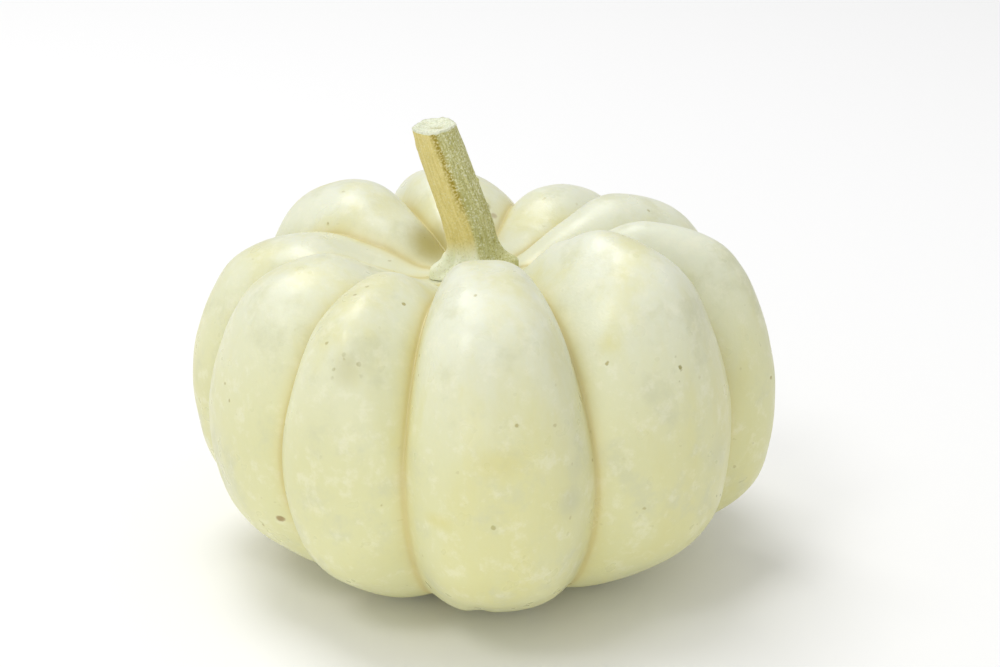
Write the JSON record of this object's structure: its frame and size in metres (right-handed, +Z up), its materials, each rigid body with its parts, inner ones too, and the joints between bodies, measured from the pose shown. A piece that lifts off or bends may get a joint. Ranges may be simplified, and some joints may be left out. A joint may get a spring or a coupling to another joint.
{
  "type": "white pumpkin",
  "caption": "Whole flattened pumpkin with deep rounded white ribs and a leaning, ridged, cut stem, resting on the undersides of its ribs.",
  "frame": {"origin": "on the ground under the middle of the pumpkin: the bottom centre of its bounding box", "axes": "+Z up along the fruit's short axis, -Y the front, +X the right; the stem leans towards -X"},
  "size_m": [0.2022, 0.2018, 0.157],
  "materials": {
    "rind": "waxy satin rind, creamy white, yellower in the furrows, with faint mottling and a few specks",
    "stem": "dry matte stem, straw on one side and grey green on the other, pale at the foot and the cut"
  },
  "bodies": {
    "root": {"fruit": "rind", "stem": "stem"}
  },
  "joints": []
}
